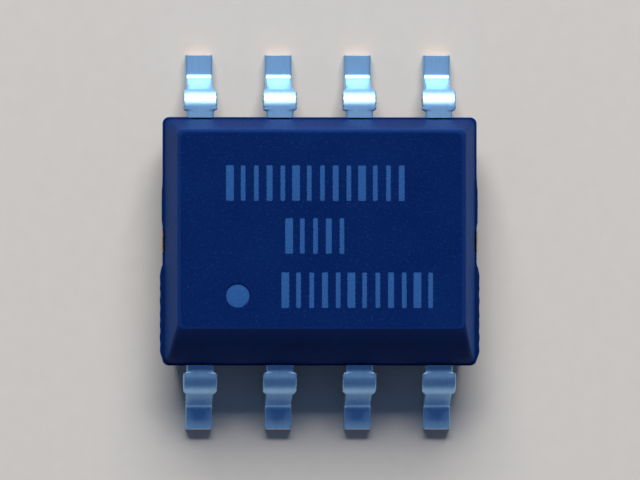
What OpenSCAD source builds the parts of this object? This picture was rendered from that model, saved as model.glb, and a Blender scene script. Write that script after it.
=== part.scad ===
// Eight-lead small-outline package: a moulded body with gull-wing leads, and inside it the die
// on its paddle, joined to the leads by looped bond wires.
// Millimetres. +X runs along the body, +Y across the lead rows, +Z up from the board, and the
// origin lies on the board under the middle of the body.
// Pin 1 is at the front left, beside the dot; pins 1 to 4 run along -Y, pins 5 to 8 back along +Y.

/* [Moulded body] */
// Length of the moulding, wall to wall where it meets the parting band
body_l = 4.95; // [4.6:0.05:5.4]
// Width of the moulding, wall to wall where it meets the parting band
body_w = 3.9; // [3.7:0.05:4.4]
// Clear height between the board and the underside
standoff = 0.15; // [0.05:0.01:0.25]
// Height of the moulding below the lead frame
lower_h = 0.55; // [0.5:0.01:0.8]
// Height of the moulding above the lead frame
upper_h = 0.7; // [0.6:0.01:0.9]
// Draft of the upper walls from upright, in degrees
upper_draft = 15; // [5:1:18]
// Draft of the lower walls from upright, in degrees
lower_draft = 12; // [5:1:15]
// How far the parting band stands out from the walls
band_proud = 0.03; // [0.01:0.01:0.06]
// Radius along the edges of the top and the underside
edge_r = 0.05; // [0.02:0.01:0.1]
// Depth of the small flats that ease the four upright corners
corner_flat = 0.04; // [0.02:0.01:0.1]
// Width of the 45 degree bevel along the pin 1 side, measured across the top
bevel = 0.36; // [0.25:0.01:0.5]
// How far the moulding flash stands out from the band at the front half of both ends
flash_proud = 0.05; // [0.02:0.01:0.15]
// Thickness of that flash
flash_t = 0.04; // [0.02:0.01:0.08]
// Length over which the flash comes out, and goes back in
flash_ramp = 0.15; // [0.05:0.01:0.4]

/* [Marks in the moulding] */
// Diameter of the pin 1 dot
dot_d = 0.39; // [0.25:0.01:0.6]
// Depth of the pin 1 dot
dot_depth = 0.02; // [0.01:0.01:0.06]
// Distance of the dot's centre from the left wall
dot_from_end = 1.14; // [0.9:0.01:1.6]
// Distance of the dot's centre from the front wall
dot_from_side = 1.07; // [0.9:0.01:1.4]
// Diameter of the ejector pin mark in the underside
ejector_d = 1; // [0.6:0.05:1.6]
// Depth of the ejector pin mark
ejector_depth = 0.03; // [0.01:0.01:0.06]

/* [Leads] */
// Thickness of the lead frame sheet
frame_t = 0.2; // [0.15:0.01:0.25]
// Distance between neighbouring leads
pitch = 1.27; // [1.2:0.01:1.4]
// Width of a lead at the foot and where it leaves the moulding
lead_w = 0.43; // [0.31:0.01:0.5]
// Width over the stubs that are left where the dam bar was cut away
stub_w = 0.54; // [0.5:0.01:0.7]
// Distance from the parting band to the stubs
stub_gap = 0.1; // [0.05:0.01:0.14]
// Length of the stubs, measured along the lead
stub_l = 0.3; // [0.15:0.01:0.4]
// Length of the level shoulder outside the parting band
shoulder_l = 0.18; // [0.15:0.01:0.35]
// Inner radius of both bends
bend_r = 0.1; // [0.06:0.01:0.15]
// Slope of a lead between its bends, in degrees from level
lead_slope = 70; // [60:1:85]
// Length of the flat of the foot
foot_l = 0.305; // [0.2:0.005:0.6]

/* [Bond fingers inside the moulding] */
// Gap between the fingers and the paddle
finger_gap = 0.2; // [0.12:0.01:0.25]
// Width of the head of the fingers of the four middle leads
finger_w = 0.55; // [0.52:0.01:0.7]
// Length of the head of every finger
finger_l = 0.35; // [0.25:0.01:0.4]
// Distance from the body's centre line to the ends of the four corner leads
corner_finger_y = 0.6; // [0.5:0.01:0.75]

/* [Paddle and die] */
// Length of the paddle
paddle_l = 2.4; // [2:0.05:2.6]
// Width of the paddle
paddle_w = 2; // [1.8:0.05:2.1]
// Depth that the paddle is set down below the leads
downset = 0.2; // [0.1:0.01:0.25]
// Slope of the set-down in the tie bars, in degrees from level
downset_slope = 45; // [35:1:60]
// Level length of tie bar beside the paddle, before the set-down
tie_run = 0.15; // [0.1:0.01:0.25]
// Width of the tie bars
tie_w = 0.35; // [0.25:0.01:0.45]
// How far the cut tie bars stand out of the parting band
tie_proud = 0.01; // [0.01:0.01:0.08]
// Length of the die
die_l = 1.3; // [0.8:0.05:1.6]
// Width of the die
die_w = 1.1; // [0.8:0.05:1.4]
// Thickness of the die
die_t = 0.25; // [0.15:0.01:0.28]
// Thickness of the die attach
attach_t = 0.02; // [0.01:0.01:0.03]
// Width of the die attach that shows round the die
attach_border = 0.06; // [0.03:0.01:0.12]

/* [Bond wires] */
// Diameter of the bond wire
wire_d = 0.025; // [0.02:0.005:0.04]
// Diameter of the ball on the die
ball_d = 0.07; // [0.05:0.01:0.09]
// Height of the ball on the die
ball_h = 0.02; // [0.01:0.01:0.03]
// Radius of the loop above the ball's neck, to the middle of the wire
loop_r = 0.08; // [0.05:0.01:0.12]
// Angle through which the loop turns the wire from upright, in degrees
loop_turn = 108; // [105:1:115]
// Diameter of the stitch on the finger
stitch_d = 0.07; // [0.06:0.01:0.1]
// Distance from the edges of the die to the middle of the bond pads
pad_inset = 0.08; // [0.06:0.01:0.12]
// Distance between the middle two pads of each side of the die
pad_pitch = 0.44; // [0.3:0.02:0.5]
// Distance of the corner leads' pads from the centre line of the die
end_pad_y = 0.25; // [0.15:0.01:0.3]
// Distance from the edge of a finger to the middle of its stitch
stitch_inset = 0.12; // [0.08:0.01:0.15]

/* [Hidden] */
$fn = 48;
// Sides of the wires, and of the balls and stitches at their ends
wire_sides = 8;
joint_sides = 12;
// Steps round the arc of a wire's loop
loop_steps = 8;
// Leads in each row, and leads in all
row_count = 4;
lead_count = 2 * row_count;
// Overlap by which a cut runs past the solid it cuts
past = 1;

// Heights above the board
body_z0 = standoff;
frame_z0 = body_z0 + lower_h;
frame_z1 = frame_z0 + frame_t;
body_z1 = frame_z1 + upper_h;
paddle_z0 = frame_z0 - downset;
paddle_z1 = paddle_z0 + frame_t;
die_z0 = paddle_z1 + attach_t;
die_z1 = die_z0 + die_t;

// Faces of the parting band
band_x = body_l / 2 + band_proud;
band_y = body_w / 2 + band_proud;

// Length of the straight slope of a lead, from the height that its two bends leave over
bend_mid_r = bend_r + frame_t / 2;
slope_l = (frame_z0 - 2 * bend_mid_r * (1 - cos(lead_slope))) / sin(lead_slope);
// Distance from the parting band to the start of the foot's flat
foot_y = shoulder_l + 2 * bend_mid_r * sin(lead_slope) + slope_l * cos(lead_slope);
// End of the stubs: on the shoulder, and then round the upper bend
stub_end = stub_gap + stub_l;
stub_turn = min(lead_slope, (stub_end - shoulder_l) / bend_mid_r * 180 / PI);

// Ends of the fingers, and the inner edge of the corner leads' fingers
middle_finger_y = paddle_w / 2 + finger_gap;
corner_finger_x = paddle_l / 2 + finger_gap;

// True for the corner leads: pins 1, 4, 5 and 8
function is_corner(pin) = (pin - 1) % row_count % (row_count - 1) == 0;
// Distance of a pin from the middle of its row
function pin_x(pin) = (is_corner(pin) ? 1.5 : 0.5) * pitch;

// Puts what is drawn for the right half of the back row in its place for a pin
module at_pin(pin) {
    turned = pin <= row_count;
    left_half = (pin - 1) % row_count >= row_count / 2;
    rotate([0, 0, turned ? 180 : 0])
        mirror([left_half ? 1 : 0, 0, 0])
            children();
}

// Stands a shape that is drawn in (distance along Y, height) upright, with its width along X
module upright_y(width) {
    rotate([90, 0, 90])
        linear_extrude(height = width, center = true)
            children();
}

// Stands a shape that is drawn in (distance along X, height) upright, with its width along Y
module upright_x(width) {
    rotate([90, 0, 0])
        linear_extrude(height = width, center = true)
            children();
}

// ---- Moulded body ----

// Arc that rounds a corner: its middle, and the angles where it starts and ends
function rounding(middle, r, from, to, steps = 4) =
    [for (i = [0 : steps]) let (a = from + (to - from) * i / steps) middle + r * [cos(a), sin(a)]];

// Right half of the moulding's outline, bottom to top: rounded edge, drafted wall, parting band,
// drafted wall, rounded edge. The draft's reach across is stretched by spread.
function half_outline(half, spread) =
    let (
        lower_lean = atan(tan(lower_draft) * spread),
        upper_lean = atan(tan(upper_draft) * spread),
        foot = half - lower_h * tan(lower_lean) - edge_r * tan(45 - lower_lean / 2),
        head = half - upper_h * tan(upper_lean) - edge_r * tan(45 - upper_lean / 2)
    )
    concat(
        rounding([foot, body_z0 + edge_r], edge_r, -90, -lower_lean),
        [[half, frame_z0], [half + band_proud * spread, frame_z0]],
        [[half + band_proud * spread, frame_z1], [half, frame_z1]],
        rounding([head, body_z1 - edge_r], edge_r, upper_lean, 90)
    );

// Whole outline of the moulding across one direction
module body_outline(half, spread = 1) {
    right = half_outline(half, spread);
    left = [for (i = [len(right) - 1 : -1 : 0]) [-right[i].x, right[i].y]];
    polygon(concat(right, left));
}

// Walls that lean in all round, with the parting band and flats on the corners
module drafted_block() {
    reach = 2 * (body_l + body_w);
    diagonal = (body_l + body_w) / 2 / sqrt(2) - corner_flat;
    intersection() {
        upright_x(reach) body_outline(body_l / 2);
        upright_y(reach) body_outline(body_w / 2);
        rotate([0, 0, 45]) upright_x(reach) body_outline(diagonal, sqrt(2));
        rotate([0, 0, -45]) upright_x(reach) body_outline(diagonal, sqrt(2));
    }
}

// Wedge that is taken off the top along the pin 1 side, at 45 degrees
module bevel_cut() {
    edge = -(body_w / 2 - upper_h * tan(upper_draft) - bevel);
    upright_y(body_l + past)
        polygon([
            [edge, body_z1],
            [edge - body_w / 2, body_z1 - body_w / 2],
            [edge - body_w / 2, body_z1 + past],
            [edge, body_z1 + past]
        ]);
}

// Thin flash in the parting plane, along the front half of each end
module end_flash() {
    back = -tie_w;
    front = -body_w / 2 + corner_flat;
    tip = band_x + flash_proud;
    translate([0, 0, frame_z1 - flash_t])
        linear_extrude(height = flash_t)
            polygon([
                [0, back], [band_x, back], [tip, back - flash_ramp], [tip, front + flash_ramp],
                [band_x, front], [0, front]
            ]);
}

// The moulding's outside, before the metal inside it is taken away
module moulding() {
    difference() {
        union() {
            drafted_block();
            end_flash();
            mirror([1, 0, 0]) end_flash();
        }
        bevel_cut();
        translate([dot_from_end - body_l / 2, dot_from_side - body_w / 2, body_z1 - dot_depth])
            cylinder(d = dot_d, h = dot_depth + past);
        translate([0, 0, body_z0 + ejector_depth - past])
            cylinder(d = ejector_d, h = past);
    }
}

// Epoxy moulding, with the leads, paddle, die and wires bedded in it
module package_body() {
    color([0.06, 0.08, 0.16])
        difference() {
            moulding();
            die_paddle();
            die_attach();
            silicon_die();
            for (pin = [1 : lead_count]) lead(pin);
            for (pin = [1 : lead_count]) bond_wire(pin);
        }
}

// ---- Leads ----

// Part of a ring as thick as the sheet, between two angles less than 120 degrees apart
module bend(from, to) {
    outer_r = bend_r + frame_t;
    intersection() {
        difference() {
            circle(r = outer_r);
            circle(r = bend_r);
        }
        polygon([
            [0, 0],
            2 * outer_r * [cos(from), sin(from)],
            2 * outer_r * [cos(to), sin(to)]
        ]);
    }
}

// Side view of a lead outside the moulding: shoulder, bend, slope, bend and foot
module lead_side() {
    translate([0, frame_z0]) square([shoulder_l, frame_t]);
    translate([shoulder_l, frame_z0 - bend_r]) {
        bend(90 - lead_slope, 90);
        rotate(-lead_slope) translate([0, bend_r]) square([slope_l, frame_t]);
    }
    translate([foot_y, frame_t + bend_r]) bend(270 - lead_slope, 270);
    translate([foot_y, 0]) square([foot_l, frame_t]);
}

// Side view of the stretch that carries the cut dam bar's stubs
module stub_side() {
    translate([stub_gap, frame_z0]) square([min(shoulder_l, stub_end) - stub_gap, frame_t]);
    if (stub_turn > 0)
        translate([shoulder_l, frame_z0 - bend_r]) bend(90 - stub_turn, 90);
}

// Plan of a middle lead inside the moulding: neck, and a wider head beside the paddle
module middle_finger() {
    x = pin_x(2);
    translate([x - lead_w / 2, middle_finger_y]) square([lead_w, band_y - middle_finger_y]);
    translate([x - finger_w / 2, middle_finger_y]) square([finger_w, finger_l]);
}

// Plan of a corner lead inside the moulding: it runs past the paddle and turns towards it
module corner_finger() {
    x = pin_x(1);
    translate([x - lead_w / 2, corner_finger_y]) square([lead_w, band_y - corner_finger_y]);
    translate([corner_finger_x, corner_finger_y])
        square([x + lead_w / 2 - corner_finger_x, finger_l]);
}

// One lead, from its bond finger to the end of its foot
module lead(pin) {
    color([0.72, 0.78, 0.85])
        at_pin(pin) {
            translate([0, 0, frame_z0])
                linear_extrude(height = frame_t) {
                    if (is_corner(pin)) corner_finger();
                    else middle_finger();
                }
            translate([pin_x(pin), band_y, 0]) {
                upright_y(lead_w) lead_side();
                upright_y(stub_w) stub_side();
            }
        }
}

// ---- Paddle and die ----

// Side view of one tie bar, from under the paddle's middle out through the end of the body
module tie_bar_side() {
    drop_x = paddle_l / 2 + tie_run;
    level_x = drop_x + downset / tan(downset_slope);
    end_x = band_x + tie_proud;
    // A sloped stretch is as thick as the sheet when its faces are set apart by this much
    lag = frame_t * tan(downset_slope / 2);
    polygon([
        [0, paddle_z0], [drop_x + lag / 2, paddle_z0], [level_x + lag / 2, frame_z0],
        [end_x, frame_z0], [end_x, frame_z1], [level_x - lag / 2, frame_z1],
        [drop_x - lag / 2, paddle_z1], [0, paddle_z1]
    ]);
}

// Paddle that carries the die, with the tie bars that held it in its frame
module die_paddle() {
    color([0.75, 0.5, 0.35]) {
        translate([-paddle_l / 2, -paddle_w / 2, paddle_z0]) cube([paddle_l, paddle_w, frame_t]);
        upright_x(tie_w) tie_bar_side();
        mirror([1, 0, 0]) upright_x(tie_w) tie_bar_side();
    }
}

// Film of adhesive between the die and the paddle
module die_attach() {
    length = die_l + 2 * attach_border;
    width = die_w + 2 * attach_border;
    color([0.8, 0.8, 0.78])
        translate([-length / 2, -width / 2, paddle_z1]) cube([length, width, attach_t]);
}

// The die
module silicon_die() {
    color([0.35, 0.38, 0.42])
        translate([-die_l / 2, -die_w / 2, die_z0]) cube([die_l, die_w, die_t]);
}

// ---- Bond wires ----

// Middle of the pad and of the stitch that a wire joins, in plan
function pad_place(pin) =
    is_corner(pin) ? [die_l / 2 - pad_inset, end_pad_y] : [pad_pitch / 2, die_w / 2 - pad_inset];
function stitch_place(pin) =
    is_corner(pin)
        ? [corner_finger_x + stitch_inset, corner_finger_y + finger_l / 2]
        : [pin_x(pin), middle_finger_y + stitch_inset];

// Ring of points round the wire, where the loop has turned it by an angle. The loop's middle is
// loop_r across and neck_h up, and the ring lies a distance along the wire past that place.
function wire_ring(turn, along, neck_h) =
    [for (i = [0 : wire_sides - 1])
        let (a = 360 * i / wire_sides, reach = loop_r + wire_d / 2 * cos(a))
            [
                reach * cos(turn) - along * sin(turn) - loop_r,
                wire_d / 2 * sin(a),
                reach * sin(turn) + along * cos(turn) + neck_h
            ]];

// Closed skin over a row of rings that turn the same way and have as many points each
module skin(rings) {
    count = len(rings[0]);
    last = (len(rings) - 1) * count;
    polyhedron(
        points = [for (ring = rings) each ring],
        faces = concat(
            [[for (i = [0 : count - 1]) i]],
            [for (start = [0 : count : last - count], i = [0 : count - 1])
                let (next = (i + 1) % count)
                    [start + i, start + count + i, start + count + next, start + next]],
            [[for (i = [count - 1 : -1 : 0]) last + i]]
        )
    );
}

// Wire from inside a ball to a stitch, which lies a distance across towards -X and a height up
// from the ball's top: an upright neck, an arc, and a straight run that leaves the arc along its
// tangent. The neck is as tall as it must be for that run to come down on the stitch.
module looped_wire(across, up) {
    fall = loop_turn - 90;
    run_across = across - loop_r * (1 + sin(fall));
    neck_h = up + run_across * tan(fall) - loop_r * cos(fall);
    skin(concat(
        [wire_ring(0, -neck_h - ball_h / 2, neck_h)],
        [for (i = [0 : loop_steps]) wire_ring(loop_turn * i / loop_steps, 0, neck_h)],
        [wire_ring(loop_turn, run_across / cos(fall), neck_h)]
    ));
}

// One bond wire, with its ball on the die and its stitch on a finger
module bond_wire(pin) {
    pad = pad_place(pin);
    stitch = stitch_place(pin);
    from_stitch = pad - stitch;
    color([0.85, 0.65, 0.25])
        at_pin(pin) {
            translate([pad.x, pad.y, die_z1]) {
                cylinder(d = ball_d, h = ball_h, $fn = joint_sides);
                translate([0, 0, ball_h])
                    rotate([0, 0, atan2(from_stitch.y, from_stitch.x)])
                        looped_wire(norm(from_stitch), frame_z1 + wire_d / 2 - die_z1 - ball_h);
            }
            translate([stitch.x, stitch.y, frame_z1])
                cylinder(d = stitch_d, h = wire_d, $fn = joint_sides);
        }
}

package_body();
die_paddle();
die_attach();
silicon_die();
for (pin = [1 : lead_count]) {
    lead(pin);
    bond_wire(pin);
}
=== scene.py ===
"""Looks of an eight-lead small-outline chip: its moulded body, its plated gull-wing leads, the
pin 1 dot and the marked fields on the top, and the finishes of the paddle, die and wires inside.

All lengths are in metres. +X runs along the body, +Y across the lead rows, +Z up from the board.
"""
import math

import bpy
import numpy as np
from mathutils import Matrix, Vector


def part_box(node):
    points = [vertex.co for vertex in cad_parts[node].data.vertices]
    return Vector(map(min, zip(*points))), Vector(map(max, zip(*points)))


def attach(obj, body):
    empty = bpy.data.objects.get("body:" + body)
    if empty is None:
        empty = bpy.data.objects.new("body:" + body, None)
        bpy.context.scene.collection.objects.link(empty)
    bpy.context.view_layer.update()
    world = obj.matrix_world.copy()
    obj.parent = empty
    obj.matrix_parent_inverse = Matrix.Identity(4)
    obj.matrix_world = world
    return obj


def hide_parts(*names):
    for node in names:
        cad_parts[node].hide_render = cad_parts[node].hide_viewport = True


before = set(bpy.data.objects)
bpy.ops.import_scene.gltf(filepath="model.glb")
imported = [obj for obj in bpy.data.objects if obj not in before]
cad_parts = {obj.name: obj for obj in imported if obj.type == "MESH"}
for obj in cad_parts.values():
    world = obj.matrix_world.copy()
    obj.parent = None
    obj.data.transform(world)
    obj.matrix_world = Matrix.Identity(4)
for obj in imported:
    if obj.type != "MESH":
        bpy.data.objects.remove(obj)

MM = 0.001
PINS = range(1, 9)
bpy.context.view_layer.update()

# ---- Sizes that the frame gives ----

BODY_LOW, BODY_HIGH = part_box("package_body")
LEAD_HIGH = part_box("lead_6")[1]

# Heights of the underside, the top and the upper face of the lead frame
UNDER_Z = BODY_LOW.z
TOP_Z = BODY_HIGH.z
FRAME_TOP_Z = LEAD_HIGH.z
# The parting band's outer face across the rows, and the tips of the feet
BAND_Y = BODY_HIGH.y
TIP_Y = LEAD_HIGH.y

# ---- Sizes of the moulding ----

BAND_PROUD = 0.03 * MM
FLASH_PROUD = 0.05 * MM
FLASH_T = 0.04 * MM
FLASH_RAMP = 0.15 * MM
BAND_X = BODY_HIGH.x - FLASH_PROUD
SHEET = 0.2 * MM
FRAME_LOW_Z = FRAME_TOP_Z - SHEET
UPPER_DRAFT = math.radians(15)
LOWER_DRAFT = math.radians(12)
EDGE_R = 0.05 * MM
CORNER_R = 0.1 * MM
BEVEL = 0.36 * MM
BEVEL_R = 0.04 * MM
DOT_R = 0.195 * MM
DOT_DEPTH = 0.02 * MM
DOT_X = -BAND_X + BAND_PROUD + 1.14 * MM
DOT_Y = -BAND_Y + BAND_PROUD + 1.07 * MM
EJECTOR_R = 0.5 * MM
EJECTOR_DEPTH = 0.03 * MM
RIM_R = 0.006 * MM
TIE_W = 0.35 * MM

# ---- Sizes of the leads ----

BEND_R = 0.1 * MM
BEND_MID_R = BEND_R + SHEET / 2
LEAD_SLOPE = math.radians(70)
SHOULDER_L = 0.18 * MM
STUB_GAP = 0.1 * MM
STUB_L = 0.3 * MM
STUB_PROUD = 0.055 * MM
LEAD_W = 0.43 * MM
FINGER_L = 0.35 * MM
HEAD_PROUD = 0.06 * MM
# Edges of the strip: soft on the face that the punch met, sharper on the other, and at cut ends
PUNCHED_R = 0.028 * MM
BURR_R = 0.01 * MM
CUT_END_R = 0.012 * MM
SHEARED_ROUGH = 0.004 * MM
# A lead whose box is wider than this is a corner lead, with its finger turned to one side
CORNER_SPAN = 0.7 * MM


def smooth_step(value, start, end):
    """0 before start, 1 after end, and 3t squared less 2t cubed of the share t between them."""
    t = np.clip((value - start) / (end - start), 0, 1)
    return t * t * (3 - 2 * t)


# ---- Meshes ----

def new_piece(name, verts, faces, smooth_angle, attributes=None):
    """A mesh object at the origin, its faces turned outwards and its sharp edges marked by angle."""
    mesh = bpy.data.meshes.new(name)
    mesh.from_pydata(verts.tolist(), [], faces.tolist())
    mesh.polygons.foreach_set("use_smooth", [True] * len(mesh.polygons))
    for key, values in (attributes or {}).items():
        layer = mesh.attributes.new(key, "FLOAT", "POINT")
        layer.data.foreach_set("value", np.asarray(values, np.float32))
    mesh.set_sharp_from_angle(angle=smooth_angle)
    mesh.validate()
    mesh.update()
    piece = bpy.data.objects.new(name, mesh)
    bpy.context.scene.collection.objects.link(piece)
    return piece


def closed_tube(rows):
    """Vertices and quads of rings stacked along a surface, with a pole that closes each end.

    rows is (rings, points, 3). Each pole lies at the mean of its end ring, and the quads are turned
    so that the volume that they enclose, the sum of each triangle's mixed product, is positive.
    """
    rings, count, _ = rows.shape
    verts = np.concatenate([rows.reshape(-1, 3), rows[:1].mean(1), rows[-1:].mean(1)])
    ring, point = np.meshgrid(np.arange(rings - 1), np.arange(count), indexing="ij")
    here = ring * count + point
    right = ring * count + (point + 1) % count
    quads = np.stack([here, right, right + count, here + count], -1).reshape(-1, 4)
    column = np.arange(count)
    beside = (column + 1) % count
    first = np.full(count, rings * count)
    last_row = (rings - 1) * count
    low = np.stack([first, beside, column, column], -1)
    high = np.stack([first + 1, last_row + column, last_row + beside, last_row + beside], -1)
    triangles = np.concatenate([quads[:, [0, 1, 2]], quads[:, [0, 2, 3]], low[:, :3], high[:, :3]])
    a, b, c = (verts[triangles[:, k]] for k in range(3))
    inside_out = np.einsum("ij,ij->i", a, np.cross(b, c)).sum() < 0
    faces = [quads, low[:, :3], high[:, :3]]
    if inside_out:
        faces = [f[:, ::-1] for f in faces]
    return verts, faces


class FaceList(list):
    """Faces of different lengths, given to from_pydata as plain lists."""

    def tolist(self):
        """One flat list of all blocks' faces, each a list of vertex numbers."""
        return [face for block in self for face in block.tolist()]


# ---- Moulded body ----

LONG_STEPS = 44
END_STEPS = 60
CORNER_STEPS = 8
EDGE_STEPS = 7


def plan_ring(x_half, y_front, y_back, radius):
    """Points of a rounded rectangle, anticlockwise from its back right corner.

    Each quarter arc is its middle plus the radius times the cosine and sine, and each side is
    shared out evenly between the arcs. Returns (points, 2).
    """
    arc = np.linspace(0, math.pi / 2, CORNER_STEPS + 1)
    middles = [(x_half - radius, y_back - radius), (-x_half + radius, y_back - radius),
               (-x_half + radius, y_front + radius), (x_half - radius, y_front + radius)]
    sides = (LONG_STEPS, END_STEPS, LONG_STEPS, END_STEPS)
    arcs = [np.stack([x + radius * np.cos(arc + k * math.pi / 2),
                      y + radius * np.sin(arc + k * math.pi / 2)], -1)
            for k, (x, y) in enumerate(middles)]
    parts = []
    for k, steps in enumerate(sides):
        start, end = arcs[k][-1], arcs[(k + 1) % 4][0]
        share = np.linspace(0, 1, steps + 1)[1:-1, None]
        parts += [arcs[k], start + (end - start) * share]
    return np.concatenate(parts)


def upper_inset(height):
    """How far the upper wall lies inside the band: the height times the tangent of its draft."""
    return BAND_PROUD + (height - FRAME_TOP_Z) * math.tan(UPPER_DRAFT)


def lower_inset(height):
    """How far the lower wall lies inside the band: the depth times the tangent of its draft."""
    return BAND_PROUD + (FRAME_LOW_Z - height) * math.tan(LOWER_DRAFT)


def wall_levels():
    """Heights from the underside to the top, and how far the wall lies inside the band there.

    The wall leans in by the tangent of its draft, its two ends are arcs of the edge radius that
    start along the wall's normal and end level, and the band is a strip with small round lips.
    Returns the heights, the insets and a share that is 1 on the rounded edges.
    """
    steps = np.linspace(0, 1, EDGE_STEPS)
    lower_run = (FRAME_LOW_Z - UNDER_Z) * math.tan(LOWER_DRAFT)
    upper_run = (TOP_Z - FRAME_TOP_Z) * math.tan(UPPER_DRAFT)
    low_mid = BAND_PROUD + lower_run + EDGE_R * math.tan(math.pi / 4 - LOWER_DRAFT / 2)
    top_mid = BAND_PROUD + upper_run + EDGE_R * math.tan(math.pi / 4 - UPPER_DRAFT / 2)
    low_a = -math.pi / 2 + steps * (math.pi / 2 - LOWER_DRAFT)
    top_a = UPPER_DRAFT + steps * (math.pi / 2 - UPPER_DRAFT)
    lip = np.array([0, 0.3, 1])
    z = np.concatenate([
        UNDER_Z + EDGE_R + EDGE_R * np.sin(low_a),
        [(UNDER_Z + FRAME_LOW_Z) / 2, FRAME_LOW_Z - RIM_R, FRAME_LOW_Z],
        FRAME_LOW_Z + RIM_R * lip,
        [FRAME_TOP_Z - FLASH_T, FRAME_TOP_Z - FLASH_T + RIM_R / 2],
        FRAME_TOP_Z - RIM_R * lip[::-1],
        [FRAME_TOP_Z, FRAME_TOP_Z + RIM_R, (FRAME_TOP_Z * 2 + TOP_Z) / 3, (FRAME_TOP_Z + TOP_Z * 2) / 3],
        TOP_Z - EDGE_R + EDGE_R * np.sin(top_a),
    ])
    inset = np.concatenate([
        low_mid - EDGE_R * np.cos(low_a),
        [lower_inset((UNDER_Z + FRAME_LOW_Z) / 2), lower_inset(FRAME_LOW_Z - RIM_R), BAND_PROUD],
        RIM_R * (1 - lip) ** 2,
        [0, 0],
        RIM_R * (1 - lip[::-1]) ** 2,
        [BAND_PROUD, upper_inset(FRAME_TOP_Z + RIM_R), upper_inset((FRAME_TOP_Z * 2 + TOP_Z) / 3),
         upper_inset((FRAME_TOP_Z + TOP_Z * 2) / 3)],
        top_mid - EDGE_R * np.cos(top_a),
    ])
    edge = np.concatenate([np.ones(EDGE_STEPS), np.zeros(len(z) - 2 * EDGE_STEPS), np.ones(EDGE_STEPS)])
    return z, inset, edge


def front_face(z, y_wall):
    """Where the pin 1 side lies at a height: the wall, or the 45 degree bevel if that is further in.

    The bevel runs from its width inside the top's sharp edge, down at 45 degrees, and an arc of
    its own radius leads from it to the top.
    """
    edge_y = -(BAND_Y - BAND_PROUD - (TOP_Z - FRAME_TOP_Z) * math.tan(UPPER_DRAFT) - BEVEL)
    plane = edge_y - (TOP_Z - z)
    arc_mid = edge_y + BEVEL_R * math.tan(math.pi / 8)
    reach = np.clip((z - TOP_Z + BEVEL_R) / BEVEL_R, 0, 1)
    arc = arc_mid - BEVEL_R * np.sqrt(1 - reach ** 2)
    bevel = np.where(reach > math.sin(math.pi / 4), arc, plane)
    return np.maximum(y_wall, bevel)


def flash_reach(points, z):
    """How far the end flash stands out: a ramp up and down along the front half of each end.

    It is only as thick as the flash, at the top of the band, and three sines of the distance
    along the end make its rim uneven. A low trace of it lies behind the tie bar too.
    """
    back, front = TIE_W, BAND_Y - BAND_PROUD - BEVEL_R
    y = points[..., 1]
    ramp = smooth_step(-y, back, back + FLASH_RAMP) * (1 - smooth_step(-y, front - FLASH_RAMP, front))
    trace = smooth_step(y, 0.22 * MM, 0.3 * MM) * (1 - smooth_step(y, 0.7 * MM, 1.1 * MM))
    ramp = ramp + 0.4 * trace
    ripple = 0.86 + 0.08 * np.sin(y / (0.031 * MM) + 1) + 0.04 * np.sin(y / (0.0127 * MM)) \
        + 0.02 * np.sin(y / (0.0071 * MM))
    in_layer = (z > FRAME_TOP_Z - FLASH_T + RIM_R / 4) & (z < FRAME_TOP_Z - RIM_R / 20)
    at_end = np.abs(points[..., 0]) > BAND_X - CORNER_R
    return FLASH_PROUD * ramp * ripple * in_layer * at_end


def towards_disc(ring, middle_x, middle_y, radius, shares):
    """Rings that go from an outer ring to a circle inside it, point by point along straight lines.

    Each point of the circle lies at the angle at which its outer point is seen from the middle.
    """
    away = ring[:, :2] - [middle_x, middle_y]
    angle = np.arctan2(away[:, 1], away[:, 0])
    circle = np.stack([middle_x + radius * np.cos(angle), middle_y + radius * np.sin(angle)], -1)
    return [ring[:, :2] + (circle - ring[:, :2]) * share for share in shares], circle


def recess_rings(ring, middle_x, middle_y, radius, face_z, depth):
    """Rings over a flat face to a round recess, down its rim and over its floor to the middle.

    depth is signed: the floor lies at face_z plus depth. The rim's two lips are chamfers of the
    rim radius.
    """
    spread, circle = towards_disc(ring, middle_x, middle_y, radius + RIM_R,
                                  (0.01, 0.04, 0.12, 0.3, 0.55, 0.8, 0.95, 1))
    lip = RIM_R * math.copysign(1, depth)
    out = [np.column_stack([xy, np.full(len(xy), face_z)]) for xy in spread]
    middle = np.array([middle_x, middle_y])
    floor_z = face_z + depth
    steps = ((radius, face_z + lip), (radius, floor_z - lip), (radius - RIM_R, floor_z),
             (radius * 0.8, floor_z), (radius * 0.4, floor_z))
    for r, z in steps:
        xy = middle + (circle - middle) * r / (radius + RIM_R)
        out.append(np.column_stack([xy, np.full(len(xy), z)]))
    return out


def make_body():
    """The moulding: rounded rectangles stacked from the underside to the top, with both faces filled.

    A ring's half length and half width are the band's less the wall's inset at its height, its
    front side is pulled in to the bevel, and its ends are pushed out by the flash.
    """
    z, inset, edge = wall_levels()
    rings, shares = [], []
    for level, depth, rounded in zip(z, inset, edge):
        front = float(front_face(level, -BAND_Y + depth))
        flat = plan_ring(BAND_X - depth, front, BAND_Y - depth, CORNER_R)
        flat[:, 0] += np.sign(flat[:, 0]) * flash_reach(flat, level)
        rings.append(np.column_stack([flat, np.full(len(flat), level)]))
        shares.append(np.full(len(flat), rounded))
    below = recess_rings(rings[0], 0, 0, EJECTOR_R, UNDER_Z, EJECTOR_DEPTH)[::-1]
    above = recess_rings(rings[-1], DOT_X, DOT_Y, DOT_R, TOP_Z, -DOT_DEPTH)
    count = len(rings[0])
    rows = np.stack(below + rings + above)
    # A share of 1 on the rounded edges, which the compound uses to paint them paler: a painted highlight.
    painted_edge_highlight = np.concatenate([np.zeros(len(below) * count), np.concatenate(shares),
                           np.zeros(len(above) * count), [0, 0]])
    verts, faces = closed_tube(rows)
    return new_piece("moulded_body", verts, FaceList(faces), math.radians(32), {"rounded": painted_edge_highlight})


# ---- Leads ----

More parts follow.
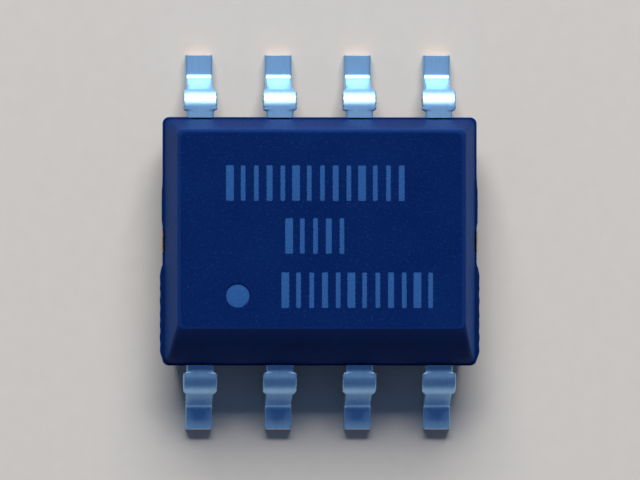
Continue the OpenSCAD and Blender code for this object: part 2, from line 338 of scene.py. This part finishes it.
SLOPE_L = (FRAME_LOW_Z - 2 * BEND_MID_R * (1 - math.cos(LEAD_SLOPE))) / math.sin(LEAD_SLOPE)
BEND_L = BEND_MID_R * LEAD_SLOPE
FOOT_Y = SHOULDER_L + 2 * BEND_MID_R * math.sin(LEAD_SLOPE) + SLOPE_L * math.cos(LEAD_SLOPE)
FOOT_L = TIP_Y - BAND_Y - FOOT_Y
LEAD_L = SHOULDER_L + 2 * BEND_L + SLOPE_L + FOOT_L


def lead_line(s):
    """Middle line of a lead at a distance s along it from the parting band.

    Two arcs of the mean bend radius join three straight stretches. a is the angle turned in the
    upper bend and b the angle turned back in the lower one: the height falls by R(1 - cos a), then
    by the slope's length times its sine, then by R(cos(slope - b) - cos slope). Returns the
    distance out, the height and the angle below level.
    """
    a = np.clip((s - SHOULDER_L) / BEND_MID_R, 0, LEAD_SLOPE)
    slope = np.clip(s - SHOULDER_L - BEND_L, 0, SLOPE_L)
    b = np.clip((s - SHOULDER_L - BEND_L - SLOPE_L) / BEND_MID_R, 0, LEAD_SLOPE)
    level = np.minimum(s, SHOULDER_L) + np.maximum(s - LEAD_L + FOOT_L, 0)
    out = (level + BEND_MID_R * np.sin(a) + slope * math.cos(LEAD_SLOPE)
           + BEND_MID_R * (math.sin(LEAD_SLOPE) - np.sin(LEAD_SLOPE - b)))
    height = (FRAME_LOW_Z + SHEET / 2 - BEND_MID_R * (1 - np.cos(a)) - slope * math.sin(LEAD_SLOPE)
              - BEND_MID_R * (np.cos(LEAD_SLOPE - b) - math.cos(LEAD_SLOPE)))
    return out, height, a - b


SECTION_STEPS = 4


def sheet_section(left, right, upper_r, lower_r, rough):
    """Rounded rectangle of the sheet's thickness for each ring, from -left to right.

    Four quarter arcs: the upper two have the soft radius of the stamped edge, the lower two the
    small radius of its burr. rough pushes the cut sides in and out. Returns (rings, points, 2).
    """
    arc = np.linspace(0, math.pi / 2, SECTION_STEPS + 1)
    corners = []
    for k, (side, top) in enumerate(((1, 1), (-1, 1), (-1, -1), (1, -1))):
        r = upper_r if top > 0 else lower_r
        half = (right if side > 0 else left) + rough * side
        angle = arc + k * math.pi / 2
        corners.append(np.stack([side * (half - r)[:, None] + r[:, None] * np.cos(angle),
                                 top * (SHEET / 2 - r)[:, None] + r[:, None] * np.sin(angle)], -1))
    flat = np.linspace(0, 1, 5)[1:-1, None]
    parts = []
    for k in range(4):
        start, end = corners[k][:, -1], corners[(k + 1) % 4][:, 0]
        parts += [corners[k], start[:, None] + (end - start)[:, None] * flat]
    return np.concatenate(parts, 1)


def lead_widths(s, inner_s, head_reach):
    """Half widths of a lead to its left and right at distances s from the band.

    Both are half the lead's width, plus the stub of the cut dam bar between its two ends. Inside
    the moulding the finger's head stands out by head_reach (left, right) from its tip on.
    """
    stub = STUB_PROUD * smooth_step(s, STUB_GAP - 0.01 * MM, STUB_GAP + 0.03 * MM) \
        * (1 - smooth_step(s, STUB_GAP + STUB_L - 0.04 * MM, STUB_GAP + STUB_L + 0.06 * MM))
    head = 1 - smooth_step(s, inner_s + FINGER_L - 0.01 * MM, inner_s + FINGER_L)
    return LEAD_W / 2 + stub + head * head_reach[0], LEAD_W / 2 + stub + head * head_reach[1]


def lead_steps(inner_s):
    """Distances along a lead at which it has a ring: evenly spaced, and closer at each step."""
    even = np.linspace(inner_s, LEAD_L, 150)
    marks = (STUB_GAP, STUB_GAP + STUB_L, inner_s + FINGER_L)
    close = np.linspace(-0.06, 0.06, 15) * MM
    extra = np.concatenate([mark + close for mark in marks])
    return np.unique(np.clip(np.concatenate([even, extra]), inner_s, LEAD_L))


def make_lead(pin):
    """One lead: its section is carried along its middle line, standing square to it."""
    low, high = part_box(f"lead_{pin}")
    row = 1 if high.y > 0 else -1
    corner = high.x - low.x > CORNER_SPAN
    inner_y = low.y if row > 0 else -high.y
    outwards = 1 if low.x + high.x > 0 else -1
    if corner:
        pin_x = (high.x if outwards > 0 else low.x) - outwards * (STUB_PROUD + LEAD_W / 2)
        head_out = high.x - low.x - STUB_PROUD - LEAD_W
        reach = (head_out, 0) if outwards > 0 else (0, head_out)
    else:
        pin_x = (low.x + high.x) / 2
        reach = (HEAD_PROUD, HEAD_PROUD)
    inner_s = inner_y - BAND_Y
    s = lead_steps(inner_s)
    left, right = lead_widths(s, inner_s, reach)
    stub_end = STUB_GAP + STUB_L
    sheared = smooth_step(s, STUB_GAP, STUB_GAP + 0.01 * MM) \
        * (1 - smooth_step(s, stub_end, stub_end + 0.02 * MM))
    rough = sheared * SHEARED_ROUGH * np.sin(s / (0.011 * MM) + pin)
    upper_r = np.full(len(s), PUNCHED_R)
    lower_r = np.full(len(s), BURR_R)
    section = sheet_section(left, right, upper_r, lower_r, rough)
    # The cut ends: one ring further, drawn in by the end's small round edge
    s = np.concatenate([s[:1], s, s[-1:]])
    section = np.concatenate([section[:1], section, section[-1:]])
    s[1] += CUT_END_R
    s[-2] -= CUT_END_R
    for k in (0, -1):
        section[k] *= 1 - CUT_END_R / np.array([LEAD_W / 2, SHEET / 2])
    out, height, tilt = lead_line(s)
    x = pin_x + section[..., 0]
    y = BAND_Y + out[:, None] + section[..., 1] * np.sin(tilt)[:, None]
    z = height[:, None] + section[..., 1] * np.cos(tilt)[:, None]
    bare = np.zeros(section.shape[:2])
    bare[-1] = 1
    on_side = np.abs(np.abs(section[..., 1]) - SHEET / 2) > 0.02 * MM
    in_stub = (s > STUB_GAP + 0.01 * MM) & (s < stub_end)
    bare[on_side & in_stub[:, None]] = 1
    rows = np.stack([x, row * y, z], -1)
    verts, faces = closed_tube(rows)
    bare = np.concatenate([bare.ravel(), [0, 1]])
    return new_piece(f"gull_wing_{pin}", verts, FaceList(faces), math.radians(38),
                     {"bare_copper": bare})


# ---- Marked fields ----

MARK_T = 0.004 * MM
BAR_H = 0.56 * MM
BAR_PITCH = 0.21 * MM
BAR_WIDTHS = np.array([0.12, 0.07, 0.07, 0.09, 0.07]) * MM
BAR_CORNER_R = 0.02 * MM
BAR_RIM = 0.014 * MM
# Start, middle height and number of bars of each marked field, from the back to the front
FIELDS = ((-1.46 * MM, 0.91 * MM, 14), (-0.52 * MM, 0.07 * MM, 5), (-0.58 * MM, -0.79 * MM, 12))


def bar_outline(half_w, half_h, radius):
    """Rounded rectangles, one for each bar: quarter arcs at the corners, and points up the sides.

    half_w is (bars,), and the points are (bars, points, 2).
    """
    arc = np.linspace(0, math.pi / 2, 4)
    side = np.linspace(0, 1, 14)[1:-1]
    parts = []
    for k, (sx, sy) in enumerate(((1, 1), (-1, 1), (-1, -1), (1, -1))):
        angle = arc + k * math.pi / 2
        x = sx * (half_w[:, None] - radius) + radius * np.cos(angle)
        y = sy * (half_h - radius) + radius * np.sin(angle)
        parts.append(np.stack(np.broadcast_arrays(x, y), -1))
    edge_x, edge_y = np.broadcast_arrays(-half_w[:, None], (half_h - radius) * (1 - 2 * side))
    left = np.stack([edge_x, edge_y], -1)
    right = -left
    return np.concatenate([parts[0], parts[1], left, parts[2], parts[3], right], 1)


def make_marks():
    """Three fields of plain upright bars, burnt a few micrometres proud of the top.

    Each bar has an outer outline and one a rim's width inside it. The rim lies level with the
    top, and the attribute burnt is 0 along it and 1 inside, so the edge can break up there.
    """
    x = np.concatenate([start + np.arange(count) * BAR_PITCH for start, _, count in FIELDS])
    y = np.concatenate([np.full(count, middle) for _, middle, count in FIELDS])
    width = np.concatenate([BAR_WIDTHS[np.arange(count) % len(BAR_WIDTHS)] for _, _, count in FIELDS])
    outer = bar_outline(width / 2 + BAR_RIM / 2, BAR_H / 2 + BAR_RIM / 2, BAR_CORNER_R)
    inner = bar_outline(width / 2 - BAR_RIM / 2, BAR_H / 2 - BAR_RIM / 2, BAR_CORNER_R - BAR_RIM / 2)
    place = np.stack([x, y], -1)[:, None]
    verts, faces, burnt = [], [], []
    filled = 0
    for low, high in zip(outer + place, inner + place):
        rows = [np.column_stack([ring, np.full(len(ring), TOP_Z + z)])
                for ring, z in ((low, -MARK_T), (low, MARK_T / 4), (high, MARK_T / 2))]
        block, parts = closed_tube(np.stack(rows))
        faces += [part + filled for part in parts]
        filled += len(block)
        verts.append(block)
        burnt.append(np.concatenate([np.zeros(2 * len(low)), np.ones(len(low)), [0, 1]]))
    return new_piece("laser_marks", np.concatenate(verts), FaceList(faces), math.radians(30),
                     {"burnt": np.concatenate(burnt)})


def make_dot():
    """Floor of the pin 1 dot: a disc that lies in the recess, with a rim drawn down into its corner."""
    turn = np.linspace(0, 2 * math.pi, 96, endpoint=False)
    floor_z = TOP_Z - DOT_DEPTH
    rows = []
    for share, z in ((0.96, -MARK_T), (0.96, MARK_T / 2), (0.88, MARK_T), (0.5, MARK_T * 1.2)):
        r = DOT_R * share
        rows.append(np.column_stack([DOT_X + r * np.cos(turn), DOT_Y + r * np.sin(turn),
                                     np.full(len(turn), floor_z + z)]))
    verts, faces = closed_tube(np.stack(rows))
    burnt = np.ones(len(verts))
    burnt[:2 * len(turn)] = 0.4
    return new_piece("pin_1_dot", verts, FaceList(faces), math.radians(30), {"burnt": burnt})


# ---- Materials ----

class Nodes:
    """Short names for a material's nodes and links."""

    def __init__(self, name):
        self.material = bpy.data.materials.new(name)
        self.material.use_nodes = True
        self.tree = self.material.node_tree
        self.tree.nodes.clear()
        self.output = self.tree.nodes.new("ShaderNodeOutputMaterial")
        self.shader = self.tree.nodes.new("ShaderNodeBsdfPrincipled")
        self.link(self.shader.outputs[0], self.output.inputs[0])
        self.place = self.tree.nodes.new("ShaderNodeTexCoord").outputs["Object"]

    def link(self, source, target):
        """Joins an output socket to an input socket."""
        self.tree.links.new(source, target)

    def set(self, **values):
        """Sets constants on the shader, each by its socket's name with underscores."""
        for key, value in values.items():
            self.shader.inputs[key.replace("_", " ")].default_value = value

    def mapped(self, scale):
        """The piece's own coordinates, each times its part of scale."""
        node = self.tree.nodes.new("ShaderNodeMapping")
        node.inputs["Scale"].default_value = scale
        self.link(self.place, node.inputs["Vector"])
        return node.outputs[0]

    def noise(self, size, detail=3, roughness=0.5, stretch=(1, 1, 1)):
        """Noise whose grains are about size metres across."""
        node = self.tree.nodes.new("ShaderNodeTexNoise")
        self.link(self.mapped([part / size for part in stretch]), node.inputs["Vector"])
        node.inputs["Scale"].default_value = 1
        node.inputs["Detail"].default_value = detail
        node.inputs["Roughness"].default_value = roughness
        return node.outputs[0]

    def ramp(self, value, low, high, to_low, to_high):
        """The share of value between low and high, carried to a range of its own."""
        node = self.tree.nodes.new("ShaderNodeMapRange")
        self.link(value, node.inputs["Value"])
        for key, number in zip(("From Min", "From Max", "To Min", "To Max"), (low, high, to_low, to_high)):
            node.inputs[key].default_value = number
        return node.outputs[0]

    def mix(self, share, first, second):
        """Colour between two colours or sockets."""
        node = self.tree.nodes.new("ShaderNodeMix")
        node.data_type = "RGBA"
        self.link(share, node.inputs[0])
        for socket, value in ((node.inputs[6], first), (node.inputs[7], second)):
            if isinstance(value, tuple):
                socket.default_value = (*value, 1)
            else:
                self.link(value, socket)
        return node.outputs[2]

    def attribute(self, name):
        """A point attribute of the mesh."""
        node = self.tree.nodes.new("ShaderNodeAttribute")
        node.attribute_name = name
        return node.outputs["Fac"]

    def bump(self, *layers):
        """Bump layers, each (height socket, depth in metres), one over the other."""
        normal = None
        for height, depth in layers:
            node = self.tree.nodes.new("ShaderNodeBump")
            node.inputs["Distance"].default_value = depth
            self.link(height, node.inputs["Height"])
            if normal is not None:
                self.link(normal, node.inputs["Normal"])
            normal = node.outputs[0]
        self.link(normal, self.shader.inputs["Normal"])


def epoxy_material():
    """Mould compound: black, painted deep navy for the bluish daylight that it reflects, with paler specks
    and a painted highlight along its rounded edges; matt from the spark-eroded mould.
    """
    n = Nodes("mould_compound")
    grain = n.noise(0.03 * MM, 4, 0.6)
    cloud = n.noise(1.1 * MM, 3)
    # Painted reflection: the compound is black, and the navy of these base colours stands in for the
    # bluish daylight that it reflects.
    colour = n.mix(n.ramp(cloud, 0.35, 0.65, 0, 1), (0.0012, 0.0115, 0.078), (0.0017, 0.0145, 0.092))
    speck = n.mix(n.ramp(grain, 0.56, 0.78, 0, 1), colour, (0.007, 0.036, 0.17))
    # Painted highlight: the rounded edges are mixed up to 0.35 of the way to a paler navy, as if catching
    # the light.
    n.link(n.mix(n.ramp(n.attribute("rounded"), 0, 1, 0, 0.35), speck, (0.01, 0.042, 0.18)),
           n.shader.inputs["Base Color"])
    n.link(n.ramp(grain, 0.3, 0.7, 0.5, 0.68), n.shader.inputs["Roughness"])
    # The blue specular and sheen tints are painted reflection of the same bluish daylight.
    n.set(Specular_IOR_Level=0.1, Specular_Tint=(0.2, 0.5, 1.0, 1), Sheen_Weight=0.16,
          Sheen_Roughness=0.4, Sheen_Tint=(0.06, 0.3, 1.0, 1))
    n.bump((grain, 0.005 * MM), (n.noise(0.012 * MM, 2), 0.0015 * MM))
    return n.material


def mark_material():
    """Laser-marked compound: paler and dustier than the rest, breaking up along its rim."""
    n = Nodes("laser_mark")
    grain = n.noise(0.02 * MM, 3, 0.6)
    share = n.tree.nodes.new("ShaderNodeMath")
    share.operation = "ADD"
    n.link(n.attribute("burnt"), share.inputs[0])
    n.link(n.ramp(grain, 0.3, 0.7, -0.5, 0.5), share.inputs[1])
    # Painted reflection: the blue of these colours stands in for the bluish daylight, as on the compound.
    burnt = n.mix(n.ramp(grain, 0.3, 0.7, 0, 1), (0.013, 0.066, 0.215), (0.026, 0.11, 0.32))
    n.link(n.mix(n.ramp(share.outputs[0], 0.3, 0.7, 0, 1), (0.0025, 0.018, 0.1), burnt),
           n.shader.inputs["Base Color"])
    n.set(Roughness=0.85, Specular_IOR_Level=0.15)
    n.bump((grain, 0.002 * MM))
    return n.material


def tin_material():
    """Satin tin plate: fine pebbled grain, faint tool streaks along the lead, and copper at cuts."""
    n = Nodes("tin_plate")
    grain = n.noise(0.018 * MM, 4, 0.6)
    streak = n.noise(0.03 * MM, 3, 0.5, (1, 0.12, 0.12))
    # Painted reflection: tin plate is grey-white, and the blue of both plate colours stands in for the
    # bluish daylight that it reflects.
    plate = n.mix(n.ramp(streak, 0.25, 0.75, 0, 1), (0.33, 0.58, 0.86), (0.38, 0.65, 0.93))
    bare = n.ramp(n.attribute("bare_copper"), 0.4, 0.6, 0, 0.8)
    n.link(n.mix(bare, plate, (0.62, 0.36, 0.22)), n.shader.inputs["Base Color"])
    n.set(Metallic=1.0)
    n.link(n.ramp(grain, 0.3, 0.7, 0.38, 0.52), n.shader.inputs["Roughness"])
    n.bump((grain, 0.0016 * MM), (streak, 0.0004 * MM))
    return n.material


def copper_material():
    """Rolled copper alloy of the paddle and its tie bars, with the grain along the strip."""
    n = Nodes("copper_frame")
    rolled = n.noise(0.02 * MM, 3, 0.5, (0.1, 1, 1))
    tarnish = n.noise(0.5 * MM, 3)
    metal = n.mix(n.ramp(tarnish, 0.35, 0.65, 0, 1), (0.66, 0.38, 0.24), (0.72, 0.47, 0.33))
    n.link(n.mix(n.ramp(rolled, 0.4, 0.7, 0, 0.4), metal, (0.8, 0.6, 0.45)), n.shader.inputs["Base Color"])
    n.set(Metallic=1.0)
    n.link(n.ramp(rolled, 0.3, 0.7, 0.3, 0.45), n.shader.inputs["Roughness"])
    n.bump((rolled, 0.001 * MM))
    return n.material


def adhesive_material():
    """Silver-filled adhesive: pale flakes in a grey binder."""
    n = Nodes("die_adhesive")
    flakes = n.noise(0.01 * MM, 4, 0.7)
    n.link(n.mix(n.ramp(flakes, 0.45, 0.6, 0, 1), (0.35, 0.35, 0.33), (0.75, 0.75, 0.72)),
           n.shader.inputs["Base Color"])
    n.link(n.ramp(flakes, 0.45, 0.6, 0.7, 0.35), n.shader.inputs["Roughness"])
    n.set(Metallic=0.5)
    n.bump((flakes, 0.002 * MM))
    return n.material


def silicon_material():
    """Polished silicon, its face crossed by the blocks and lanes of the circuit."""
    n = Nodes("silicon")
    blocks = n.tree.nodes.new("ShaderNodeTexBrick")
    n.link(n.mapped((1 / (0.4 * MM), 1 / (0.4 * MM), 0)), blocks.inputs["Vector"])
    blocks.inputs["Scale"].default_value = 1
    blocks.inputs["Color1"].default_value = (0.28, 0.2, 0.26, 1)
    blocks.inputs["Color2"].default_value = (0.18, 0.26, 0.27, 1)
    blocks.inputs["Mortar"].default_value = (0.55, 0.52, 0.45, 1)
    blocks.inputs["Mortar Size"].default_value = 0.02
    lanes = n.noise(0.03 * MM, 2, 0.5, (1, 0.15, 1))
    n.link(n.mix(n.ramp(lanes, 0.45, 0.6, 0, 0.5), blocks.outputs["Color"], (0.4, 0.38, 0.36)),
           n.shader.inputs["Base Color"])
    n.set(Metallic=0.7, Roughness=0.25)
    n.bump((lanes, 0.0005 * MM))
    return n.material


def gold_material():
    """Drawn gold wire, with faint draw lines."""
    n = Nodes("gold_wire")
    drawn = n.noise(0.01 * MM, 2)
    n.link(n.mix(n.ramp(drawn, 0.3, 0.7, 0, 1), (0.9, 0.62, 0.2), (1.0, 0.76, 0.34)),
           n.shader.inputs["Base Color"])
    n.set(Metallic=1.0)
    n.link(n.ramp(drawn, 0.3, 0.7, 0.18, 0.32), n.shader.inputs["Roughness"])
    n.bump((drawn, 0.0004 * MM))
    return n.material


def floor_material():
    """Plain pale table, with a hint of tooth."""
    n = Nodes("pale_table")
    tooth = n.noise(0.25 * MM, 3)
    n.link(n.mix(n.ramp(tooth, 0.3, 0.7, 0, 1), (0.61, 0.55, 0.485), (0.625, 0.565, 0.498)),
           n.shader.inputs["Base Color"])
    n.set(Roughness=0.85)
    return n.material


def finish_node(name, material):
    """Gives a CAD node that stays in view its finish."""
    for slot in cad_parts[name].material_slots:
        slot.material = material


# ---- Stage ----

CAMERA_FAR = 160 * MM
CAMERA_UP = math.radians(88.9)
CAMERA_SIDE = math.radians(-2.6)
VIEW_WIDTH = 10.2 * MM
SENSOR = 36


def add_camera():
    """A long lens that looks almost straight down, from slightly in front and to the left."""
    data = bpy.data.cameras.new("camera")
    data.sensor_width = SENSOR
    data.lens = SENSOR / 2 / (VIEW_WIDTH / 2 / CAMERA_FAR)
    data.clip_start = 1 * MM
    data.clip_end = 10
    camera = bpy.data.objects.new("camera", data)
    aim = np.array([0, 0.02 * MM, TOP_Z * 0.6])
    away = np.array([math.sin(CAMERA_SIDE), -math.cos(CAMERA_UP), math.sin(CAMERA_UP)])
    away /= np.linalg.norm(away)
    camera.location = aim + away * CAMERA_FAR
    right = np.cross([0, 1, 0], away)
    right /= np.linalg.norm(right)
    up = np.cross(away, right)
    turn = np.column_stack([right, up, away])
    camera.rotation_euler = Matrix(turn.tolist()).to_euler()
    bpy.context.scene.collection.objects.link(camera)
    bpy.context.scene.camera = camera


def add_lamp(name, place, width, height, power, colour):
    """An oblong soft box that faces the middle of the chip."""
    data = bpy.data.lights.new(name, "AREA")
    data.shape = "RECTANGLE"
    data.size = width
    data.size_y = height
    data.energy = power
    data.color = colour
    lamp = bpy.data.objects.new(name, data)
    lamp.location = place
    direction = -np.array(place, float)
    lamp.rotation_euler = Vector(direction).to_track_quat("-Z", "Y").to_euler()
    bpy.context.scene.collection.objects.link(lamp)


def add_world():
    """A room round the stage: a pale band at the horizon that fades to a dim bluish ceiling.

    The brightness follows the height of the direction looked in, from its sine.
    """
    world = bpy.data.worlds.new("studio")
    bpy.context.scene.world = world
    world.use_nodes = True
    tree = world.node_tree
    tree.nodes.clear()
    output = tree.nodes.new("ShaderNodeOutputWorld")
    light = tree.nodes.new("ShaderNodeBackground")
    place = tree.nodes.new("ShaderNodeTexCoord")
    part = tree.nodes.new("ShaderNodeSeparateXYZ")
    ramp = tree.nodes.new("ShaderNodeValToRGB")
    tree.links.new(place.outputs["Generated"], part.inputs[0])
    tree.links.new(part.outputs["Z"], ramp.inputs[0])
    tree.links.new(ramp.outputs[0], light.inputs[0])
    tree.links.new(light.outputs[0], output.inputs[0])
    stops = ramp.color_ramp.elements
    stops[0].position = 0.05
    stops[0].color = (0.78, 0.77, 0.75, 1)
    stops[1].position = 0.34
    stops[1].color = (0.04, 0.08, 0.17, 1)


def add_floor(material):
    """The table: one square of it, far wider than the view."""
    half = 400 * MM
    mesh = bpy.data.meshes.new("table")
    corners = [(-half, -half, 0), (half, -half, 0), (half, half, 0), (-half, half, 0)]
    mesh.from_pydata(corners, [], [(0, 1, 2, 3)])
    floor = bpy.data.objects.new("table", mesh)
    mesh.materials.append(material)
    bpy.context.scene.collection.objects.link(floor)


def dress(piece, material, slot, *nodes):
    """Gives a piece its material and its body, and hides the CAD nodes that it stands for."""
    piece.data.materials.append(material)
    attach(piece, "root")
    if nodes:
        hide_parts(*nodes)


add_camera()
add_world()
add_lamp("back_window", (0, 236 * MM, 185 * MM), 230 * MM, 170 * MM, 1.5, (0.95, 0.98, 1.0))
add_floor(floor_material())

epoxy = epoxy_material()
tin = tin_material()
mark = mark_material()
dress(make_body(), epoxy, "mould_compound", "package_body")
for pin in PINS:
    dress(make_lead(pin), tin, "tin_plate", f"lead_{pin}")
dress(make_marks(), mark, "mould_compound")
dress(make_dot(), mark, "mould_compound")

finish_node("die_paddle", copper_material())
finish_node("die_attach", adhesive_material())
finish_node("silicon_die", silicon_material())
gold = gold_material()
for pin in PINS:
    finish_node(f"bond_wire_{pin}", gold)

bpy.context.scene.view_settings.view_transform = "Standard"
